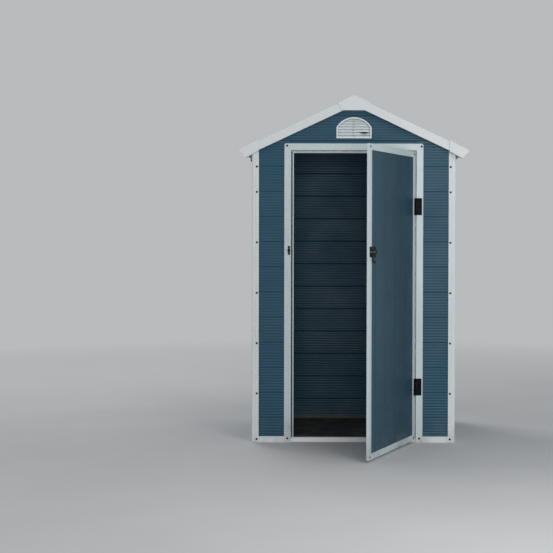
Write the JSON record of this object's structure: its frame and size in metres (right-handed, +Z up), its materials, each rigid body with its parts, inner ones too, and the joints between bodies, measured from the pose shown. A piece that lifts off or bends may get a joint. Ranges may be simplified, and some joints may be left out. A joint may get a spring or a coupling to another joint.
{
  "type": "resin garden shed",
  "caption": "Small ribbed resin garden shed with an apex roof, white trims, a louvred gable vent and one outward hinged door standing ajar.",
  "frame": {"origin": "on the ground, on the underside of the floor, under the middle of the body", "axes": "+Z up, the front faces -Y, +X to the right as seen from the front"},
  "size_m": [1.3274, 1.5785, 2.0139],
  "materials": {
    "blue_resin": "ribbed, semi-matt",
    "white_resin": "smooth, semi-matt",
    "roof_resin": "smooth, semi-matt",
    "floor_resin": "textured, matt",
    "black_metal": "satin"
  },
  "bodies": {
    "shed": {"left_wall": "blue_resin", "right_wall": "blue_resin", "back_wall": "blue_resin", "front_wall_left": "blue_resin", "front_wall_right": "blue_resin", "front_gable": "blue_resin", "base_rail_left": "white_resin", "base_rail_right": "white_resin", "base_rail_back": "white_resin", "base_rail_front_left": "white_resin", "base_rail_front_right": "white_resin", "door_sill": "white_resin", "corner_post_front_left": "white_resin", "corner_post_front_right": "white_resin", "corner_post_back_left": "white_resin", "corner_post_back_right": "white_resin", "door_frame_left": "white_resin", "door_frame_right": "white_resin", "door_frame_head": "white_resin", "gable_vent": "white_resin", "gable_trim_front_left": "white_resin", "gable_trim_front_right": "white_resin", "gable_trim_back_left": "white_resin", "gable_trim_back_right": "white_resin", "ridge_end_cap_front": "white_resin", "ridge_end_cap_back": "white_resin", "eave_trim_left": "white_resin", "eave_trim_right": "white_resin", "eave_end_cap_front_left": "white_resin", "eave_end_cap_front_right": "white_resin", "eave_end_cap_back_left": "white_resin", "eave_end_cap_back_right": "white_resin", "roof_panel_left": "roof_resin", "roof_panel_right": "roof_resin", "ridge_cap": "roof_resin", "floor_panel": "floor_resin", "hinge_jamb_leaves": "black_metal", "latch_keeper": "black_metal"},
    "door": {"door_panel": "blue_resin", "door_stile_free": "white_resin", "door_stile_hinge": "white_resin", "door_rail_top": "white_resin", "door_rail_bottom": "white_resin", "hinge_door_leaves": "black_metal", "door_latch": "black_metal"}
  },
  "joints": [
    {"name": "door_hinge", "type": "hinge", "parent": "shed", "child": "door", "pos_m": [0.3615, -0.441, 0.85], "axis": [0, 0, 1], "range_deg": [-67, 98]}
  ]
}
